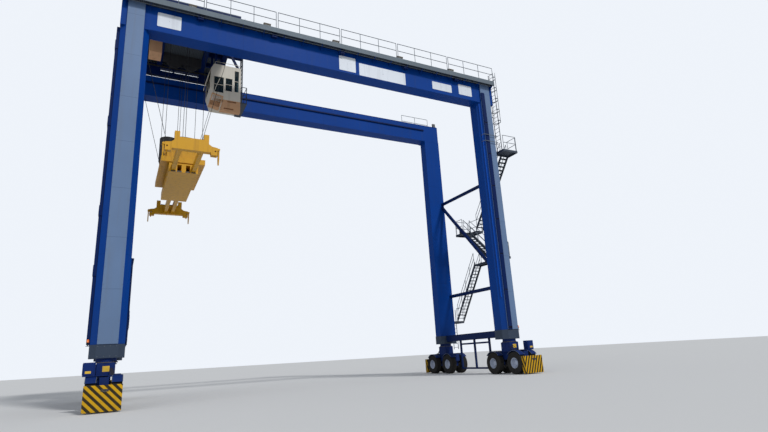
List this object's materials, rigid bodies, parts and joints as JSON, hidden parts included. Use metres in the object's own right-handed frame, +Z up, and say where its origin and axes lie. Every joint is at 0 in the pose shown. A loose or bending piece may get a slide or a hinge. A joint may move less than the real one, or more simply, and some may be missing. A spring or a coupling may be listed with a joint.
{
  "type": "rubber tyred gantry crane",
  "caption": "Blue rubber tyred gantry crane with hoisting trolley, hanging cabin, telescopic container spreader and steered bogies.",
  "frame": {"origin": "ground level under the middle of the whole outline", "axes": "+X across the span towards the stair side, +Y along the travel direction, +Z up"},
  "size_m": [26.51, 12.18, 23.021],
  "materials": {
    "crane_blue": "gloss",
    "dark_blue": "satin",
    "cover_grey": "satin",
    "bare_steel": "matte",
    "galvanised": "matte",
    "lamp_housing": "satin",
    "tan_paint": "matte",
    "cream_paint": "satin",
    "window_glass": "clear",
    "black_plastic": "matte",
    "spreader_yellow": "satin",
    "hazard_yellow": "satin",
    "tyre_rubber": "matte"
  },
  "bodies": {
    "portal": {"near_girder": "crane_blue", "far_girder": "crane_blue", "near_left_leg": "crane_blue", "near_right_leg": "crane_blue", "far_left_leg": "crane_blue", "far_right_leg": "crane_blue", "leg_covers": "cover_grey", "left_sill": "crane_blue", "right_sill": "crane_blue", "left_braces": "dark_blue", "right_braces": "dark_blue", "trolley_rails": "bare_steel", "near_walkway": "galvanised", "far_platform": "galvanised", "walkway_railings": "galvanised", "floodlights": "lamp_housing", "stair_treads": "galvanised", "stair_frames": "galvanised", "stair_railings": "galvanised", "caged_ladder": "galvanised", "electrical_house": "dark_blue", "sill_guards": "dark_blue", "cable_ducts": "dark_blue"},
    "trolley": {"trolley_frame": "dark_blue", "trolley_deck": "galvanised", "trolley_railings": "galvanised", "hoist_winch": "bare_steel", "rope_sheaves": "bare_steel", "trolley_cabinet": "tan_paint", "cabin_shell": "cream_paint", "cabin_glass": "window_glass", "cabin_guard": "tan_paint", "cabin_platform": "cream_paint", "hoist_ropes": "bare_steel"},
    "spreader": {"headblock": "spreader_yellow", "cable_basket": "black_plastic", "spreader_frame": "spreader_yellow"},
    "near_arm": {"near_arm": "spreader_yellow"},
    "far_arm": {"far_arm": "spreader_yellow"},
    "near_left_flipper": {"near_left_flipper": "spreader_yellow"},
    "near_left_bogie": {"near_left_bogie": "crane_blue", "near_left_bumper": "hazard_yellow"},
    "near_left_outer_wheels": {"near_left_outer_wheels": "tyre_rubber"},
    "near_left_inner_wheels": {"near_left_inner_wheels": "tyre_rubber"},
    "near_right_flipper": {"near_right_flipper": "spreader_yellow"},
    "near_right_bogie": {"near_right_bogie": "crane_blue", "near_right_bumper": "hazard_yellow"},
    "near_right_outer_wheels": {"near_right_outer_wheels": "tyre_rubber"},
    "near_right_inner_wheels": {"near_right_inner_wheels": "tyre_rubber"},
    "far_left_flipper": {"far_left_flipper": "spreader_yellow"},
    "far_left_bogie": {"far_left_bogie": "crane_blue", "far_left_bumper": "hazard_yellow"},
    "far_left_outer_wheels": {"far_left_outer_wheels": "tyre_rubber"},
    "far_left_inner_wheels": {"far_left_inner_wheels": "tyre_rubber"},
    "far_right_flipper": {"far_right_flipper": "spreader_yellow"},
    "far_right_bogie": {"far_right_bogie": "crane_blue", "far_right_bumper": "hazard_yellow"},
    "far_right_outer_wheels": {"far_right_outer_wheels": "tyre_rubber"},
    "far_right_inner_wheels": {"far_right_inner_wheels": "tyre_rubber"}
  },
  "joints": [
    {"name": "trolley_travel", "type": "slide", "parent": "portal", "child": "trolley", "axis": [1, 0, 0], "range_m": [-0.34, 17.35]},
    {"name": "hoist", "type": "slide", "parent": "trolley", "child": "spreader", "axis": [0, 0, 1], "range_m": [-9.1, 6.3], "deforming": ["hoist_ropes"]},
    {"name": "near_arm_slide", "type": "slide", "parent": "spreader", "child": "near_arm", "axis": [0, 1, 0], "range_m": [-0.76, 3.05]},
    {"name": "far_arm_slide", "type": "slide", "parent": "spreader", "child": "far_arm", "axis": [0, -1, 0], "range_m": [-0.76, 3.05]},
    {"name": "near_left_flip", "type": "hinge", "parent": "near_arm", "child": "near_left_flipper", "pos_m": [-10.745, -5.94, 12.02], "axis": [0, 1, 0], "range_deg": [0, 180]},
    {"name": "near_right_flip", "type": "hinge", "parent": "near_arm", "child": "near_right_flipper", "pos_m": [-8.175, -5.94, 12.02], "axis": [0, -1, 0], "range_deg": [0, 180]},
    {"name": "far_left_flip", "type": "hinge", "parent": "far_arm", "child": "far_left_flipper", "pos_m": [-10.745, 5.94, 12.02], "axis": [0, 1, 0], "range_deg": [0, 180]},
    {"name": "far_right_flip", "type": "hinge", "parent": "far_arm", "child": "far_right_flipper", "pos_m": [-8.175, 5.94, 12.02], "axis": [0, -1, 0], "range_deg": [0, 180]},
    {"name": "near_left_steer", "type": "hinge", "parent": "portal", "child": "near_left_bogie", "pos_m": [-12.385, -3.75, 2.2], "axis": [0, 0, -1], "range_deg": [0, 90]},
    {"name": "near_left_outer_axle", "type": "hinge", "parent": "near_left_bogie", "child": "near_left_outer_wheels", "pos_m": [-12.385, -4.79, 0.69], "axis": [1, 0, 0], "continuous": true},
    {"name": "near_left_inner_axle", "type": "hinge", "parent": "near_left_bogie", "child": "near_left_inner_wheels", "pos_m": [-12.385, -2.71, 0.69], "axis": [1, 0, 0], "continuous": true},
    {"name": "near_right_steer", "type": "hinge", "parent": "portal", "child": "near_right_bogie", "pos_m": [11.085, -3.75, 2.2], "axis": [0, 0, 1], "range_deg": [0, 90]},
    {"name": "near_right_outer_axle", "type": "hinge", "parent": "near_right_bogie", "child": "near_right_outer_wheels", "pos_m": [11.085, -4.79, 0.69], "axis": [1, 0, 0], "continuous": true},
    {"name": "near_right_inner_axle", "type": "hinge", "parent": "near_right_bogie", "child": "near_right_inner_wheels", "pos_m": [11.085, -2.71, 0.69], "axis": [1, 0, 0], "continuous": true},
    {"name": "far_left_steer", "type": "hinge", "parent": "portal", "child": "far_left_bogie", "pos_m": [-12.385, 3.75, 2.2], "axis": [0, 0, 1], "range_deg": [0, 90]},
    {"name": "far_left_outer_axle", "type": "hinge", "parent": "far_left_bogie", "child": "far_left_outer_wheels", "pos_m": [-12.385, 4.79, 0.69], "axis": [1, 0, 0], "continuous": true},
    {"name": "far_left_inner_axle", "type": "hinge", "parent": "far_left_bogie", "child": "far_left_inner_wheels", "pos_m": [-12.385, 2.71, 0.69], "axis": [1, 0, 0], "continuous": true},
    {"name": "far_right_steer", "type": "hinge", "parent": "portal", "child": "far_right_bogie", "pos_m": [11.085, 3.75, 2.2], "axis": [0, 0, -1], "range_deg": [0, 90]},
    {"name": "far_right_outer_axle", "type": "hinge", "parent": "far_right_bogie", "child": "far_right_outer_wheels", "pos_m": [11.085, 4.79, 0.69], "axis": [1, 0, 0], "continuous": true},
    {"name": "far_right_inner_axle", "type": "hinge", "parent": "far_right_bogie", "child": "far_right_inner_wheels", "pos_m": [11.085, 2.71, 0.69], "axis": [1, 0, 0], "continuous": true}
  ],
  "couplings": [
    {"joint": "far_arm_slide", "follows": "near_arm_slide", "ratio": 1}
  ]
}
